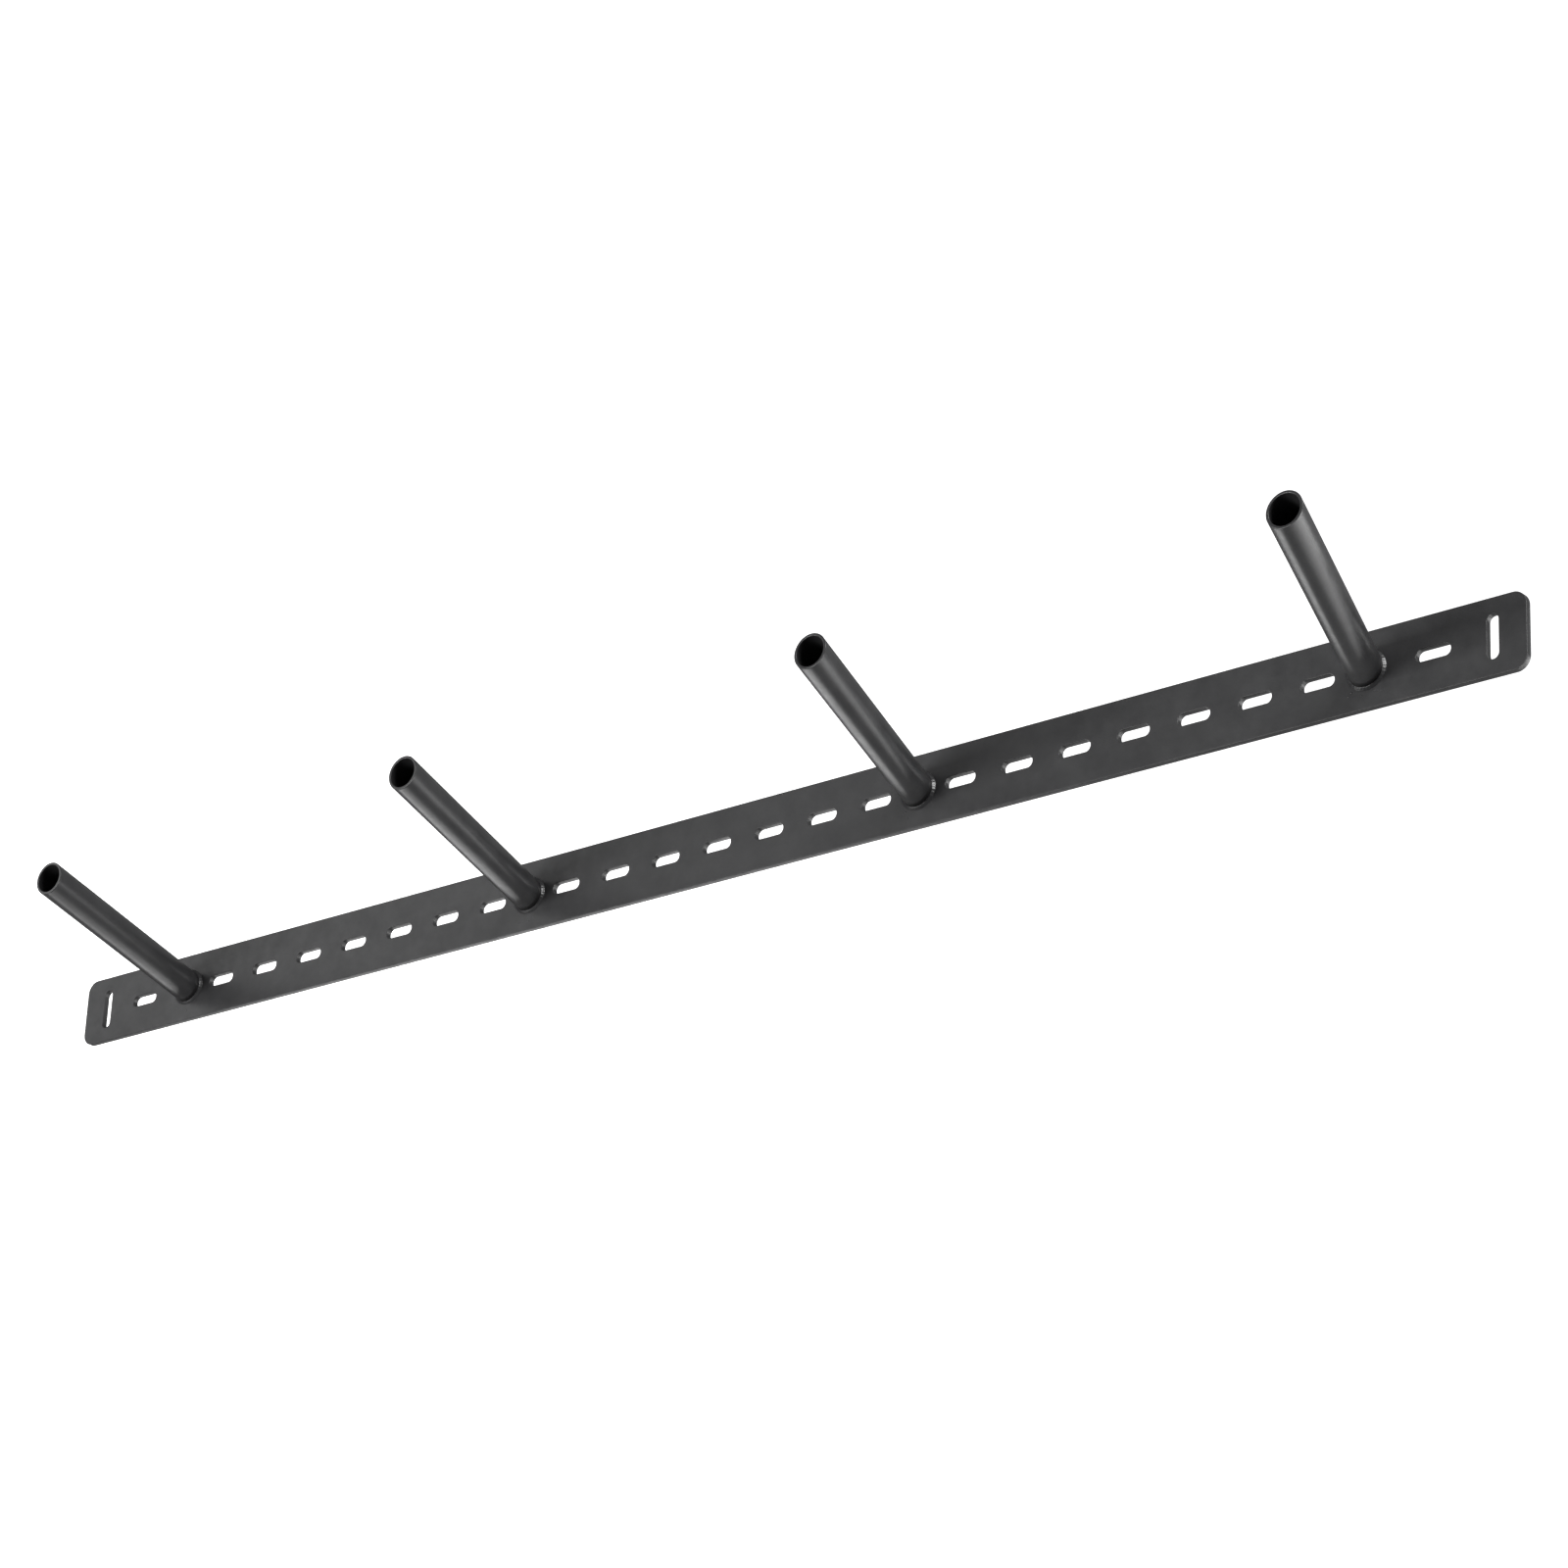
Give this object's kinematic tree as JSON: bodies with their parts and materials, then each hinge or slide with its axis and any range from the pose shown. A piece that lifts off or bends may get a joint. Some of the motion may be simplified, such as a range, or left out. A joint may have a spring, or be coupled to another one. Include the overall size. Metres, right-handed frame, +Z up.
{
  "type": "wall rack",
  "caption": "Upright slotted flat-bar wall rack with four open round tube arms welded to its front, each rising at 22 degrees.",
  "frame": {"origin": "centre of the flat bar's back face, where the bar meets the wall", "axes": "+X across the bar to the right as seen from the front, +Y out of the back face into the wall, +Z up along the bar; the arms point towards -Y and rise"},
  "size_m": [0.055, 0.2368, 1.373],
  "materials": {
    "plate_coat": "matt black powder coat, fine texture",
    "tube_coat": "satin-matt black powder coat, fine texture",
    "weld_coat": "black powder coat over weld metal, slightly glossier"
  },
  "bodies": {
    "root": {"back_plate": "plate_coat", "arm_tube_1": "tube_coat", "arm_tube_2": "tube_coat", "arm_tube_3": "tube_coat", "arm_tube_4": "tube_coat", "weld_bead_1": "weld_coat", "weld_bead_2": "weld_coat", "weld_bead_3": "weld_coat", "weld_bead_4": "weld_coat"}
  },
  "joints": []
}
